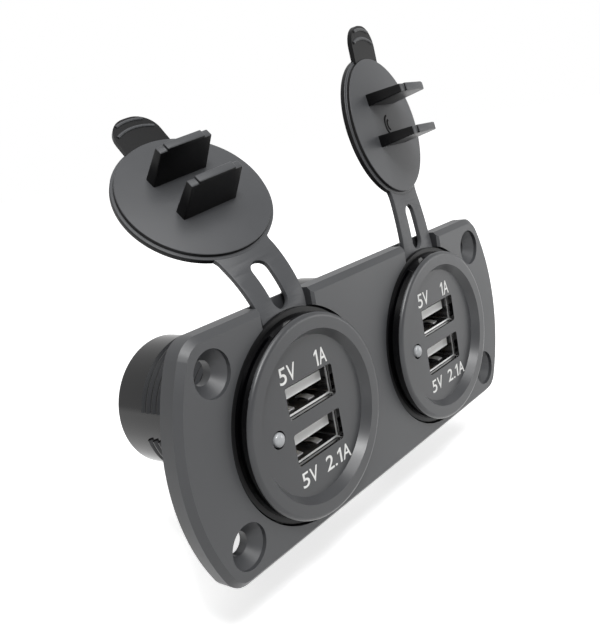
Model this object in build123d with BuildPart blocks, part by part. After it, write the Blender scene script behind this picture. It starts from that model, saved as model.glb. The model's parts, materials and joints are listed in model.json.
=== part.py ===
from build123d import *
import math
import os

# Panel-mounted dual USB socket: a dark plastic panel that carries two round
# charging sockets, each with its own hinged rubber cover.
# The origin is the centre of the panel's back face. X runs to the right, Z up,
# and the sockets face -Y. All sizes are in millimetres.

# Mounting panel
panel_end_margin = 10.75
panel_rim = 2.0
panel_thickness = 4.4
panel_end_radius = 40.3
panel_corner_radius = 5.0
panel_front_chamfer = 1.1
panel_back_chamfer = 0.4
socket_spacing = 46.0
seat_web = 1.9
notch_web = 0.9
notch_side_gap = 0.8
notch_corner_chamfer = 0.5
barrel_hole_gap = 0.85

# Countersunk screw holes in the panel's corners
screw_from_end = 10.15
screw_from_edge = 6.55
screw_hole_radius = 2.1
screw_head_radius = 4.0
screw_head_land = 0.8

# Socket moulding: flange with a dished face, and the barrel behind it
flange_radius = 18.4
flange_thickness = 3.2
flange_front_round = 0.9
dish_mouth_radius = 15.5
dish_floor_radius = 14.35
dish_depth = 1.7
face_wall = 3.0
barrel_radius = 13.25
barrel_wall = 2.0
barrel_length = 33.4
barrel_end_round = 0.6

# Thread on the barrel: plain ridges that stop at a smooth strip on each side
thread_radius = 13.9
thread_pitch = 1.5
thread_root_width = 1.1
thread_crest_width = 0.25
thread_sunk = 0.1
thread_start = 0.4
thread_end_gap = 6.6
thread_strip_angle = 12.0

# USB ports
port_pitch = 8.7
port_offset_x = 0.4
port_setback = 1.3
shell_inner_width = 12.5
shell_inner_height = 5.2
shell_wall = 0.3
shell_length = 14.0
shell_foot_width = 1.6
window_gap = 0.1
window_corner_radius = 0.55
tongue_width = 11.1
tongue_thickness = 1.8
tongue_gap_below = 2.6
tongue_setback = 0.8
tongue_root_length = 3.0
tongue_root_gap = 0.05
contact_width = 1.0
contact_thickness = 0.15
contact_length = 7.5
contact_spacing = 2.5
contact_count = 4

# Indicator lens beside the ports
lens_radius = 1.55
lens_gap = 0.05
lens_rise = 0.55
lens_offset_x = 9.9
lens_offset_z = 0.5

# Circuit board and its parts, inside the barrel
board_thickness = 1.6
board_side_gap = 0.15
board_front_gap = 0.3
board_rear_gap = 4.8
parts_gap = 3.5
choke_core_radius = 2.4
choke_flange_radius = 4.2
choke_flange_thickness = 0.9
choke_height = 5.4
choke_offset_x = 4.6
capacitor_radius = 3.15
capacitor_height = 7.0
capacitor_round = 0.5
capacitor_offset_x = 4.4
chip_width = 5.0
chip_length = 4.0
chip_height = 1.5
chip_offset_x = 4.4
chip_leg_width = 0.4
chip_leg_length = 0.8
chip_leg_pitch = 1.27
chip_leg_count = 3

# Rear cap and spade terminals
rear_cap_thickness = 2.4
rear_cap_step = 0.75
rear_cap_gap = 0.05
rear_cap_dish_radius = 9.5
rear_cap_dish_depth = 0.6
terminal_width = 6.3
terminal_thickness = 0.8
terminal_reach = 8.0
terminal_tip_chamfer = 1.0
terminal_hole_radius = 0.9
terminal_hole_from_tip = 2.6
terminal_offset_x = 3.6
terminal_slot_gap = 0.05

# Ring nut that clamps the socket from behind the panel
nut_bore_gap = 0.05
nut_radius = 17.6
nut_thickness = 6.0
nut_edge_chamfer = 0.5
nut_groove_radius = 1.6
nut_groove_count = 12

# Rubber cover: clamped ring, neck, folding strap and cap
ring_overhang = 0.9
ring_thickness = 2.2
ring_seat_gap = 0.3
strap_width = 12.2
strap_thickness = 1.0
strap_slot_width = 4.2
strap_slot_start = 0.1
strap_slot_end = 2.6
strap_slot_round = 1.5
strap_flare_radius = 3.5
fold_gap = 0.3
fold_above_ring = 0.8
lower_fold_depth = 2.8
cap_gap = 0.35
cap_radius = 14.9
cap_face_radius = 14.3
cap_thickness = 1.9
cap_lip_thickness = 1.1
cap_back_round = 0.35
blade_width = 12.2
blade_tip_width = 11.5
blade_root_thickness = 2.3
blade_tip_thickness = 1.35
blade_length = 6.7
blade_crown_height = 0.5
blade_crown_inset = 1.6
blade_floor_gap = 0.1
blade_tip_lift = 0.8
tab_width = 9.4
tab_length = 6.4
tab_thickness = 1.0
tab_inset = 0.25
tab_lean = 6.0
tab_corner_radius = 4.2
tab_rib_width = 0.6
tab_rib_height = 0.2
tab_rib_bow_radius = 9.0
tab_rib_half_angle = 26.0
tab_rib_pitch = 1.8
tab_rib_count = 2
tab_rib_from_tip = 0.75

# Each cover folds on two lines. Here is the turn on each line from shut to where
# the cover stands open, and how far the lines are askew from X, towards Y and Z,
# all in degrees.
fold_angle = {"left": 112.3, "right": 95.2}
lower_fold_skew = {"left": (-1.0, 2.6), "right": (1.2, -2.0)}
upper_fold_skew = {"left": (-4.0, -2.5), "right": (1.6, 2.1)}

# Depths and radii that follow from the sizes above
socket_x = {"left": -socket_spacing / 2, "right": socket_spacing / 2}
panel_front = -panel_thickness
ring_radius = flange_radius + ring_overhang
seat_radius = ring_radius + ring_seat_gap
panel_width = socket_spacing + 2 * (seat_radius + panel_end_margin)
panel_height = 2 * (seat_radius + panel_rim)
screw_spacing_x = panel_width - 2 * screw_from_end
screw_spacing_z = panel_height - 2 * screw_from_edge
seat_floor = -seat_web
flange_back = seat_floor - ring_thickness
flange_front = flange_back - flange_thickness
face_front = flange_front + dish_depth
face_back = face_front + face_wall
cavity_radius = barrel_radius - barrel_wall
barrel_hole_radius = barrel_radius + barrel_hole_gap
shell_width = shell_inner_width + 2 * shell_wall
shell_height = shell_inner_height + 2 * shell_wall
shell_front = face_front + port_setback
shell_back = shell_front + shell_length
tongue_front = shell_front + tongue_setback
board_front = face_back + board_front_gap
rear_cap_front = barrel_length - rear_cap_thickness
board_back = rear_cap_front - board_rear_gap
parts_front = shell_back + parts_gap
port_heights = {"upper": port_pitch / 2, "lower": -port_pitch / 2}
cap_face = flange_front - cap_gap
cap_back = cap_face - cap_thickness
blade_shoulder = cap_face + blade_length - blade_crown_height
strap_middle = cap_back + strap_thickness / 2
lower_fold_height = ring_radius + fold_above_ring
fold_clear = strap_thickness / 2 + fold_gap


def facing(x, y, z=0.0):
    """Sketch plane that looks out of the front: its x is X and its y is Z."""
    return Plane(origin=(x, y, z), x_dir=(1, 0, 0), z_dir=(0, -1, 0))


def through_axis(x, angle=0.0):
    """Sketch plane through a socket's axis: its x is the radius, angle degrees above X."""
    across, up = math.cos(math.radians(angle)), math.sin(math.radians(angle))
    return Plane(origin=(x, 0, 0), x_dir=(across, 0, up), z_dir=(-up, 0, across))


def lying(x, y, z):
    """Sketch plane parallel to the circuit board: its x is X and its y is Y."""
    return Plane(origin=(x, y, z), x_dir=(1, 0, 0), z_dir=(0, 0, 1))


def upright(x, y=0.0, z=0.0):
    """Sketch plane across X: its x is Y and its y is Z."""
    return Plane(origin=(x, y, z), x_dir=(0, 1, 0), z_dir=(1, 0, 0))


def socket_axis(x):
    """Axis of the socket that stands at x."""
    return Axis((x, 0, 0), (0, 1, 0))


def fold_line(x, y, z, skew):
    """Axis of a strap fold, askew from X by the two angles in degrees."""
    towards_y, towards_z = (math.tan(math.radians(angle)) for angle in skew)
    return Axis((x, y, z), (1, towards_y, towards_z))


def lower_fold(side):
    """Fold line between the neck of the cover and its strap."""
    return fold_line(socket_x[side], -lower_fold_depth, lower_fold_height, lower_fold_skew[side])


def upper_fold(side):
    """Fold line between the strap and the cap, with the cover shut."""
    return fold_line(socket_x[side], strap_middle, lower_fold_height, upper_fold_skew[side])


def below_fold(fold):
    """Plane under a fold line that leaves the strap free to turn there."""
    lean = Vector(0, 0, 1) - fold.direction * fold.direction.Z
    return Plane(origin=fold.position - lean.normalized() * fold_clear, z_dir=lean)


def write(part, name):
    """Label a finished piece and write its STEP file."""
    part.label = name
    export_step(part, f"parts/{name}.step")


def make_mounting_panel():
    """Flat panel with bulging ends, two stepped socket seats and four screw holes."""
    half_height = panel_height / 2
    end_centre = panel_width / 2 - panel_end_radius
    corner_x = end_centre + math.sqrt(panel_end_radius**2 - half_height**2)
    with BuildPart() as panel:
        with BuildSketch(facing(0, 0)) as outline:
            with BuildLine():
                Line((-corner_x, half_height), (corner_x, half_height))
                ThreePointArc((corner_x, half_height), (panel_width / 2, 0), (corner_x, -half_height))
                Line((corner_x, -half_height), (-corner_x, -half_height))
                ThreePointArc((-corner_x, -half_height), (-panel_width / 2, 0), (-corner_x, half_height))
            make_face()
            fillet(outline.vertices(), panel_corner_radius)
        extrude(amount=panel_thickness)
        chamfer(panel.faces().sort_by(Axis.Y)[0].edges(), panel_front_chamfer)
        chamfer(panel.faces().sort_by(Axis.Y)[-1].edges(), panel_back_chamfer)
        for x in socket_x.values():
            with BuildSketch(facing(x, panel_front)):
                Circle(seat_radius)
            extrude(amount=-(panel_thickness - seat_web), mode=Mode.SUBTRACT)
            with BuildSketch(facing(x, panel_front)):
                Circle(barrel_hole_radius)
            extrude(amount=-panel_thickness, mode=Mode.SUBTRACT)
            notch_width = strap_width + 2 * notch_side_gap
            with BuildSketch(facing(x, panel_front, seat_radius - 2 * notch_side_gap)):
                Rectangle(notch_width, half_height, align=(Align.CENTER, Align.MIN))
            extrude(amount=-(panel_thickness - notch_web), mode=Mode.SUBTRACT)
            for wall_x in (x - notch_width / 2, x + notch_width / 2):
                mouth = (wall_x, panel_front, half_height - panel_front_chamfer)
                front_edge = panel.edges().filter_by(Axis.Z).sort_by_distance(mouth)[0]
                chamfer(front_edge, notch_corner_chamfer)
        with BuildSketch(facing(0, panel_front)):
            with GridLocations(screw_spacing_x, screw_spacing_z, 2, 2):
                Circle(screw_head_radius)
        extrude(amount=-screw_head_land, mode=Mode.SUBTRACT)
        with Locations(facing(0, panel_front + screw_head_land)):
            with GridLocations(screw_spacing_x, screw_spacing_z, 2, 2):
                CounterSinkHole(screw_hole_radius, screw_head_radius, counter_sink_angle=90)
    return panel


def make_socket_body(x):
    """Flange with its dished face, port windows and lens hole, and the hollow barrel."""
    with BuildPart() as body:
        with BuildSketch(through_axis(x)):
            with BuildLine():
                Polyline(
                    (0, face_front),
                    (dish_floor_radius, face_front),
                    (dish_mouth_radius, flange_front),
                    (flange_radius - flange_front_round, flange_front),
                )
                JernArc(
                    (flange_radius - flange_front_round, flange_front), (1, 0), flange_front_round, 90
                )
                Polyline(
                    (flange_radius, flange_front + flange_front_round),
                    (flange_radius, flange_back),
                    (barrel_radius, flange_back),
                    (barrel_radius, barrel_length - barrel_end_round),
                )
                JernArc((barrel_radius, barrel_length - barrel_end_round), (0, 1), barrel_end_round, 90)
                Polyline(
                    (barrel_radius - barrel_end_round, barrel_length),
                    (cavity_radius + rear_cap_step, barrel_length),
                    (cavity_radius + rear_cap_step, rear_cap_front),
                    (cavity_radius, rear_cap_front),
                    (cavity_radius, face_back),
                    (0, face_back),
                    (0, face_front),
                )
            make_face()
        revolve(axis=socket_axis(x))
        with BuildSketch(facing(x, face_front)):
            with Locations(*((port_offset_x, height) for height in port_heights.values())):
                RectangleRounded(
                    shell_width + 2 * window_gap, shell_height + 2 * window_gap, window_corner_radius
                )
            with Locations((-lens_offset_x, -lens_offset_z)):
                Circle(lens_radius + lens_gap)
        extrude(amount=-face_wall, mode=Mode.SUBTRACT)
        ridge_count = int((barrel_length - thread_end_gap - thread_start) / thread_pitch)
        for strip_end in (-thread_strip_angle, 180 - thread_strip_angle):
            with BuildSketch(through_axis(x, strip_end)):
                for number in range(ridge_count):
                    with Locations((0, thread_start + (number + 0.5) * thread_pitch)):
                        Polygon(
                            (barrel_radius - thread_sunk, -thread_root_width / 2),
                            (thread_radius, -thread_crest_width / 2),
                            (thread_radius, thread_crest_width / 2),
                            (barrel_radius - thread_sunk, thread_root_width / 2),
                            align=None,
                        )
            revolve(axis=socket_axis(x), revolution_arc=180 - 2 * thread_strip_angle)
    return body


def make_usb_shell(x, height):
    """Folded metal shell of one port: an open tube with two feet on the board."""
    port_x = x + port_offset_x
    board_side = math.copysign(board_thickness / 2, height)
    foot_height = abs(height) - shell_height / 2 - board_thickness / 2 + shell_wall
    foot_align = Align.MIN if height > 0 else Align.MAX
    foot_x = (shell_width - shell_wall) / 2
    with BuildPart() as shell:
        with BuildSketch(facing(port_x, shell_front, height)):
            RectangleRounded(shell_width, shell_height, window_corner_radius)
            RectangleRounded(
                shell_inner_width,
                shell_inner_height,
                window_corner_radius - shell_wall / 2,
                mode=Mode.SUBTRACT,
            )
        extrude(amount=-shell_length)
        with BuildSketch(facing(port_x, shell_back - shell_length / 3, board_side)):
            with Locations((-foot_x, 0), (foot_x, 0)):
                Rectangle(shell_wall, foot_height, align=(Align.CENTER, foot_align))
        extrude(amount=shell_foot_width)
    return shell


def make_usb_tongue(x, height):
    """Insulator of one port: the rear block that fills the shell and its tongue."""
    port_x = x + port_offset_x
    tongue_bottom = height - shell_inner_height / 2 + tongue_gap_below
    with BuildPart() as tongue:
        with BuildSketch(facing(port_x, shell_back, height)):
            Rectangle(
                shell_inner_width - 2 * tongue_root_gap, shell_inner_height - 2 * tongue_root_gap
            )
        extrude(amount=tongue_root_length)
        corners = tongue.edges().filter_by(Axis.Y)
        fillet(corners, window_corner_radius)
        with BuildSketch(facing(port_x, tongue_front, tongue_bottom)):
            Rectangle(tongue_width, tongue_thickness, align=(Align.CENTER, Align.MIN))
        extrude(amount=-(shell_length - tongue_setback - tongue_root_length))
    return tongue


def make_usb_contacts(x, height):
    """Four spring contacts that lie along the underside of the tongue."""
    tongue_bottom = height - shell_inner_height / 2 + tongue_gap_below
    with BuildPart() as contacts:
        with BuildSketch(facing(x + port_offset_x, shell_back - tongue_root_length, tongue_bottom)):
            with GridLocations(contact_spacing, 0, contact_count, 1):
                Rectangle(contact_width, contact_thickness, align=(Align.CENTER, Align.MAX))
        extrude(amount=contact_length)
    return contacts


def make_indicator_lens(x):
    """Domed light pipe through the front wall, beside the ports."""
    lens_axis_x = x - lens_offset_x
    dome_radius = (lens_radius**2 + lens_rise**2) / (2 * lens_rise)
    with BuildPart() as lens:
        with BuildSketch(
            Plane(origin=(lens_axis_x, 0, -lens_offset_z), x_dir=(1, 0, 0), z_dir=(0, 0, 1))
        ):
            with BuildLine():
                Polyline(
                    (0, face_front - lens_rise),
                    (0, face_back),
                    (lens_radius, face_back),
                    (lens_radius, face_front),
                )
                RadiusArc((lens_radius, face_front), (0, face_front - lens_rise), dome_radius)
            make_face()
        revolve(axis=Axis((lens_axis_x, 0, -lens_offset_z), (0, 1, 0)))
    return lens


def make_circuit_board(x):
    """Flat board that lies between the two ports and runs back along the barrel."""
    half_width = math.sqrt(cavity_radius**2 - (board_thickness / 2) ** 2) - board_side_gap
    with BuildPart() as board:
        with BuildSketch(lying(x, board_front, -board_thickness / 2)):
            Rectangle(2 * half_width, board_back - board_front, align=(Align.CENTER, Align.MIN))
        extrude(amount=board_thickness)
    return board


def make_choke(x):
    """Wire-wound choke on top of the board: a drum with two end flanges."""
    centre = (x - choke_offset_x, parts_front + choke_flange_radius, board_thickness / 2)
    with BuildPart() as choke:
        with BuildSketch(lying(*centre)):
            Circle(choke_core_radius + (choke_flange_radius - choke_core_radius) / 2)
        extrude(amount=choke_height)
        for level in (0, choke_height - choke_flange_thickness):
            with BuildSketch(lying(centre[0], centre[1], centre[2] + level)):
                Circle(choke_flange_radius)
            extrude(amount=choke_flange_thickness)
    return choke


def make_capacitors(x):
    """Two smoothing capacitors: one on each face of the board."""
    y = parts_front + capacitor_radius
    with BuildPart() as capacitors:
        with BuildSketch(lying(x + capacitor_offset_x, y, board_thickness / 2)):
            Circle(capacitor_radius)
        extrude(amount=capacitor_height)
        with BuildSketch(lying(x - capacitor_offset_x, y, -board_thickness / 2)):
            Circle(capacitor_radius)
        extrude(amount=-capacitor_height)
        ends = capacitors.faces().filter_by(Axis.Z).sort_by(Axis.Z)
        fillet((ends[0] + ends[-1]).edges(), capacitor_round)
    return capacitors


def make_regulator_chip(x):
    """Voltage regulator under the board, with its rows of legs."""
    centre = (x + chip_offset_x, parts_front + capacitor_radius, -board_thickness / 2)
    with BuildPart() as chip:
        with BuildSketch(lying(*centre)):
            Rectangle(chip_width, chip_length)
        extrude(amount=-chip_height)
        with BuildSketch(lying(*centre)):
            with GridLocations(0, chip_leg_pitch, 1, chip_leg_count):
                Rectangle(chip_width + 2 * chip_leg_length, chip_leg_width)
        extrude(amount=-chip_height / 3)
    return chip


def make_rear_cap(x):
    """Round plug that closes the barrel, dished behind, with two terminal slots."""
    with BuildPart() as cap:
        with BuildSketch(facing(x, barrel_length)):
            Circle(cavity_radius + rear_cap_step - rear_cap_gap)
        extrude(amount=rear_cap_thickness)
        with BuildSketch(facing(x, barrel_length)):
            Circle(rear_cap_dish_radius)
        extrude(amount=rear_cap_dish_depth, mode=Mode.SUBTRACT)
        with BuildSketch(facing(x, barrel_length)):
            with Locations((-terminal_offset_x, 0), (terminal_offset_x, 0)):
                Rectangle(
                    terminal_thickness + 2 * terminal_slot_gap, terminal_width + 2 * terminal_slot_gap
                )
        extrude(amount=rear_cap_thickness, mode=Mode.SUBTRACT)
    return cap


def make_terminal(x):
    """Spade terminal: a flat blade with a bevelled tip and a latch hole."""
    tip = barrel_length + terminal_reach
    with BuildPart() as terminal:
        with BuildSketch(upright(x)) as blade:
            with Locations(((board_back + tip) / 2, 0)):
                Rectangle(tip - board_back, terminal_width)
            chamfer(blade.vertices().group_by(Axis.X)[-1], terminal_tip_chamfer)
            with Locations((tip - terminal_hole_from_tip, 0)):
                Circle(terminal_hole_radius, mode=Mode.SUBTRACT)
        extrude(amount=terminal_thickness / 2, both=True)
    return terminal


def make_ring_nut(x):
    """Round nut with finger grooves, tightened against the back of the panel."""
    with BuildPart() as nut:
        with BuildSketch(facing(x, 0)):
            Circle(nut_radius)
            Circle(thread_radius + nut_bore_gap, mode=Mode.SUBTRACT)
        extrude(amount=-nut_thickness)
        outer_edges = nut.edges().filter_by(GeomType.CIRCLE).group_by(SortBy.RADIUS)[-1]
        chamfer(outer_edges, nut_edge_chamfer)
        with BuildSketch(facing(x, 0)):
            with PolarLocations(nut_radius + nut_groove_radius / 2, nut_groove_count):
                Circle(nut_groove_radius)
        extrude(amount=-nut_thickness, mode=Mode.SUBTRACT)
    return nut


def make_cover_ring(side):
    """Rubber ring clamped behind the flange, with the neck that carries the strap."""
    x = socket_x[side]
    neck_root = barrel_hole_radius + (ring_radius - barrel_hole_radius) / 2
    with BuildPart() as ring:
        with BuildSketch(facing(x, seat_floor)):
            Circle(ring_radius)
            Circle(barrel_hole_radius, mode=Mode.SUBTRACT)
        extrude(amount=ring_thickness)
        with BuildSketch(facing(x, -lower_fold_depth + strap_thickness / 2, neck_root)):
            Rectangle(
                strap_width, lower_fold_height - neck_root, align=(Align.CENTER, Align.MIN)
            )
        extrude(amount=strap_thickness)
        with BuildSketch(facing(x, seat_floor, ring_radius + strap_slot_start)) as slot:
            Rectangle(strap_slot_width, ring_radius, align=(Align.CENTER, Align.MIN))
            fillet(slot.vertices().group_by(Axis.Y)[0], strap_slot_round)
        extrude(amount=ring_thickness, mode=Mode.SUBTRACT)
        split(bisect_by=below_fold(lower_fold(side)), keep=Keep.BOTTOM)
    return ring


def make_strap_link(side):
    """Two bands beside the slot that join the folds, drawn with the cover shut."""
    x = socket_x[side]
    with BuildPart() as link:
        for inner, outer in (
            (-strap_width / 2, -strap_slot_width / 2),
            (strap_slot_width / 2, strap_width / 2),
        ):
            for offset in (inner, outer):
                start, stop = (
                    fold.position + fold.direction * (offset / fold.direction.X)
                    for fold in (lower_fold(side), upper_fold(side))
                )
                along = stop - start
                with BuildSketch(Plane(origin=(start + stop) / 2, x_dir=along, z_dir=(1, 0, 0))):
                    SlotCenterToCenter(along.length, strap_thickness)
            loft(ruled=True)
    return link


def blade_plane(x, y):
    """Sketch plane of the blades, seen from the socket: its y points down."""
    return Plane(origin=(x, y, 0), x_dir=(1, 0, 0), z_dir=(0, 1, 0))


def make_cap(side):
    """Rubber cap, drawn shut: disc, two port blades, pull tab and strap root."""
    x = socket_x[side]
    port_x = x + port_offset_x
    lean = math.tan(math.radians(tab_lean))
    with BuildPart() as cap:
        with BuildSketch(facing(x, cap_back + cap_lip_thickness)):
            Circle(cap_radius)
        extrude(amount=cap_lip_thickness)
        fillet(cap.faces().sort_by(Axis.Y)[0].edges(), cap_back_round)
        with BuildSketch(facing(x, cap_face)):
            Circle(cap_face_radius)
        extrude(amount=cap_thickness - cap_lip_thickness)
        with BuildSketch(facing(x, cap_back + strap_thickness)) as strap_root:
            Circle(cap_radius)
            Rectangle(strap_width, 2 * lower_fold_height, align=(Align.CENTER, Align.MIN))
            flare_z = math.sqrt(cap_radius**2 - (strap_width / 2) ** 2)
            for flare_x in (-strap_width / 2, strap_width / 2):
                corner = strap_root.vertices().sort_by_distance((flare_x, flare_z))[0]
                fillet(corner, strap_flare_radius)
        extrude(amount=strap_thickness)
        split(bisect_by=below_fold(upper_fold(side)), keep=Keep.BOTTOM)
        with BuildSketch(facing(x, cap_back + strap_thickness, cap_radius + strap_slot_end)) as slot:
            Rectangle(strap_slot_width, lower_fold_height, align=(Align.CENTER, Align.MIN))
            fillet(slot.vertices().group_by(Axis.Y)[0], strap_slot_round)
        extrude(amount=strap_thickness, mode=Mode.SUBTRACT)
        tab_root = Plane(
            origin=(x, cap_face - tab_inset, -cap_face_radius),
            x_dir=(1, 0, 0),
            z_dir=(0, -1, -lean),
        )
        with BuildSketch(tab_root) as tab:
            with Locations((0, cap_radius / 4)):
                Rectangle(tab_width, tab_length + cap_radius / 4, align=(Align.CENTER, Align.MAX))
            fillet(tab.vertices().group_by(Axis.Y)[0], tab_corner_radius)
        extrude(amount=tab_thickness)
        with BuildSketch(tab_root):
            for number in range(tab_rib_count):
                bow_end = tab_length - tab_rib_from_tip - number * tab_rib_pitch
                with BuildLine(mode=Mode.PRIVATE):
                    bow = CenterArc(
                        (0, tab_rib_bow_radius - bow_end),
                        tab_rib_bow_radius,
                        270 - tab_rib_half_angle,
                        2 * tab_rib_half_angle,
                    )
                SlotArc(bow, tab_rib_width)
        extrude(amount=-tab_rib_height)
        for height in port_heights.values():
            root_low = height - shell_inner_height / 2 + blade_floor_gap
            root_middle = root_low + blade_root_thickness / 2
            tip_middle = root_low + blade_tip_lift + blade_tip_thickness / 2
            with BuildSketch(blade_plane(port_x, cap_face)):
                with Locations((0, -root_middle)):
                    Rectangle(blade_width, blade_root_thickness)
            with BuildSketch(blade_plane(port_x, blade_shoulder)):
                with Locations((0, -tip_middle)):
                    Rectangle(blade_tip_width, blade_tip_thickness)
            loft(ruled=True)
            with BuildSketch(blade_plane(port_x, blade_shoulder)):
                with Locations((0, -tip_middle)):
                    Rectangle(blade_tip_width - 2 * blade_crown_inset, blade_tip_thickness)
            extrude(amount=blade_crown_height)
    return cap


os.makedirs("parts", exist_ok=True)

write(make_mounting_panel().part, "mounting_panel")
for side, x in socket_x.items():
    write(make_socket_body(x).part, f"{side}_socket_body")
    write(make_rear_cap(x).part, f"{side}_rear_cap")
    write(make_ring_nut(x).part, f"{side}_ring_nut")
    write(make_circuit_board(x).part, f"{side}_circuit_board")
    write(make_choke(x).part, f"{side}_choke")
    write(make_capacitors(x).part, f"{side}_capacitors")
    write(make_regulator_chip(x).part, f"{side}_regulator_chip")
    for level, height in port_heights.items():
        write(make_usb_shell(x, height).part, f"{side}_{level}_usb_shell")
        write(make_usb_tongue(x, height).part, f"{side}_{level}_usb_tongue")
        write(make_usb_contacts(x, height).part, f"{side}_{level}_usb_contacts")
    write(make_indicator_lens(x).part, f"{side}_indicator_lens")
    write(make_terminal(x - terminal_offset_x).part, f"{side}_positive_terminal")
    write(make_terminal(x + terminal_offset_x).part, f"{side}_negative_terminal")
    write(make_cover_ring(side).part, f"{side}_cover_ring")
    opened_link = make_strap_link(side).part.rotate(lower_fold(side), -fold_angle[side])
    write(opened_link, f"{side}_strap_link")
    unfolded_cap = make_cap(side).part.rotate(upper_fold(side), -fold_angle[side])
    write(unfolded_cap.rotate(lower_fold(side), -fold_angle[side]), f"{side}_cap")
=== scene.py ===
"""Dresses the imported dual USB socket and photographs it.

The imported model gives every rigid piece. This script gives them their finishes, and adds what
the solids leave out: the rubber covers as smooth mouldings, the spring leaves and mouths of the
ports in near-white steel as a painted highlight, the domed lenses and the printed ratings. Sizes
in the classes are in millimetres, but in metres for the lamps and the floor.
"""
import json
import logging
import math
from dataclasses import dataclass, field
from enum import Enum
from typing import Any, Callable

import bpy
from bpy.types import Curve, Material, MeshPolygon, Node, NodeSocket, NodeTree, Object
from mathutils import Matrix, Quaternion, Vector


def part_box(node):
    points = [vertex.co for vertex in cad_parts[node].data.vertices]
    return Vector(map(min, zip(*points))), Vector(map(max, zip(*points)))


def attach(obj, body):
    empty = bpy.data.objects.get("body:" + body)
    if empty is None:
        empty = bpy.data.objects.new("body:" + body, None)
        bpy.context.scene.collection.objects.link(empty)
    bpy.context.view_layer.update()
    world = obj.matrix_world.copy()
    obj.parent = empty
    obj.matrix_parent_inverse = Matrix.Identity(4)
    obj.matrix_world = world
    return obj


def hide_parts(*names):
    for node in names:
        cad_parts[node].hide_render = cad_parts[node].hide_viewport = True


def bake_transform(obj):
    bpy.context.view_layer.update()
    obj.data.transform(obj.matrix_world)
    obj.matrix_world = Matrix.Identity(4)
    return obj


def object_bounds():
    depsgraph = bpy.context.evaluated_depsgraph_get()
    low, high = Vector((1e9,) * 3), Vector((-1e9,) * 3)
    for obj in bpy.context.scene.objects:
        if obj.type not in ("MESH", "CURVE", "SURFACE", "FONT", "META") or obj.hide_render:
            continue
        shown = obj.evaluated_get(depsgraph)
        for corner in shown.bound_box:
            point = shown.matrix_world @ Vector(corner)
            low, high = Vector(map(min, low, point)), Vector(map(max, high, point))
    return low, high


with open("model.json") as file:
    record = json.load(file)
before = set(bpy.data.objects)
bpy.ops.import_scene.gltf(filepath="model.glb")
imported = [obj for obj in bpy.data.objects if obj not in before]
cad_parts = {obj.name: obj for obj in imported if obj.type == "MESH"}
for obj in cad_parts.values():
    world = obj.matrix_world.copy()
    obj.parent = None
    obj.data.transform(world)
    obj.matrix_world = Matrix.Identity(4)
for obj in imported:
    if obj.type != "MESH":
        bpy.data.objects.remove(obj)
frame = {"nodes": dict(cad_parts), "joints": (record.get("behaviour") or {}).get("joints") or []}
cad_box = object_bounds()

log = logging.getLogger("usb_socket")

MM = 0.001
UPRIGHT = (math.pi / 2, 0, 0)
WHITE = (1.0, 1.0, 1.0, 1.0)
ROUND_STEPS = 160
CURVE_STEPS = 10
NOISE_DETAIL = 3.0
NOISE_ROUGHNESS = 0.55

# Length of a quarter circle's Bezier handles, by its radius.
ROUND_HANDLE = 0.5523

# A face looks along an axis when its normal's share there is past this.
FACING = 0.9

# Millimetres within which two heights count as one.
LEVEL_MARGIN = 0.01

# Numbers along X, Y and Z, and points of a closed outline with the handles beside them.
Triple = tuple[float, float, float]
Outline = list[tuple[Any, Any, Any]]


class Side(Enum):
    """The two sockets of the panel, seen from the front."""

    LEFT = "left"
    RIGHT = "right"

    def of(self, piece: str) -> str:
        """Gives the full name of this side's piece."""
        return f"{self.value}_{piece}"


class Level(Enum):
    """The two ports of a socket."""

    UPPER = "upper"
    LOWER = "lower"


def linear(colour: str) -> tuple[float, float, float, float]:
    """Turns an sRGB hex colour into linear light.

    Args:
        colour: six hex digits, such as "2b2b2d".

    Returns:
        The red, green, blue and alpha that a node socket takes.
    """
    shares = [int(colour[i : i + 2], 16) / 255 for i in (0, 2, 4)]
    return (*(c / 12.92 if c <= 0.04045 else ((c + 0.055) / 1.055) ** 2.4 for c in shares), 1.0)


def add_node(
    tree: NodeTree, kind: str, inputs: dict[Any, Any] | None = None, **settings: Any
) -> Node:
    """Adds a node to a tree.

    Args:
        tree: the node tree of a material or of the world.
        kind: Blender's type name of the node.
        inputs: value or linked socket of each input, by the input's name or number.
        settings: the node's own properties.

    Returns:
        The new node.
    """
    node = tree.nodes.new(kind)
    for name, value in settings.items():
        setattr(node, name, value)
    for name, value in (inputs or {}).items():
        if isinstance(value, NodeSocket):
            tree.links.new(value, node.inputs[name])
        else:
            node.inputs[name].default_value = value
    return node


def seen_directly(tree: NodeTree) -> NodeSocket:
    """Gives 1 for camera, mirror and clear-glass rays, which see the background white."""
    paths = add_node(tree, "ShaderNodeLightPath")
    seen = paths.outputs["Is Camera Ray"]
    for kind in ("Glossy", "Transmission"):
        both = {0: seen, 1: paths.outputs[f"Is {kind} Ray"]}
        seen = add_node(tree, "ShaderNodeMath", both, operation="MAXIMUM").outputs[0]
    return seen


def grain(tree: NodeTree, size_mm: float, stretch: Triple = (1, 1, 1)) -> NodeSocket:
    """Adds a noise of a real size on Object coordinates.

    Args:
        tree: the material's node tree.
        size_mm: how wide one patch of the noise is.
        stretch: how much finer it is along X, Y and Z.

    Returns:
        The noise, from 0 to 1.
    """
    place = add_node(tree, "ShaderNodeTexCoord").outputs["Object"]
    space = {"Vector": place, "Scale": stretch}
    look = {
        "Vector": add_node(tree, "ShaderNodeMapping", space).outputs[0],
        "Scale": 1 / (size_mm * MM),
        "Detail": NOISE_DETAIL,
        "Roughness": NOISE_ROUGHNESS,
    }
    return add_node(tree, "ShaderNodeTexNoise", look).outputs["Fac"]


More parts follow.
